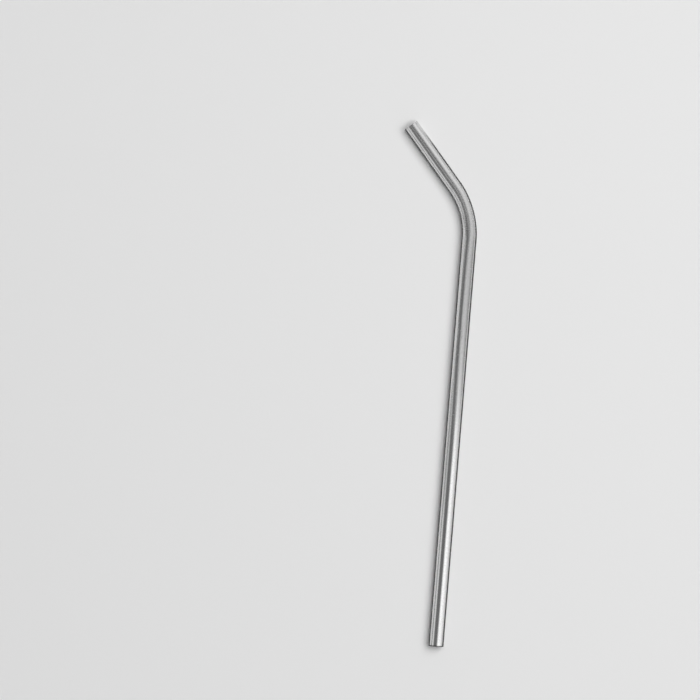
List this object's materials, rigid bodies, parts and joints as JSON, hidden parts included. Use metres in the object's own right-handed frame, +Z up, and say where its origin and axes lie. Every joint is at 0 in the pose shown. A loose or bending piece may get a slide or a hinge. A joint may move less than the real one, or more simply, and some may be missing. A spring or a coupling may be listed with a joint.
{
  "type": "stainless steel straw",
  "caption": "Bent stainless steel drinking straw: a thin-walled round tube with a smooth elbow near its mouth end and rounded open ends.",
  "frame": {"origin": "under the middle of the straw's box, on the surface that it lies on", "axes": "+Y along the long leg from its foot to the bend, the mouth leg turns towards -X, +Z up out of the plane of the bend"},
  "size_m": [0.032, 0.208, 0.006],
  "materials": {
    "steel": "drawn and lightly polished, with fine lines along the tube"
  },
  "bodies": {
    "root": {"straw": "steel"}
  },
  "joints": []
}
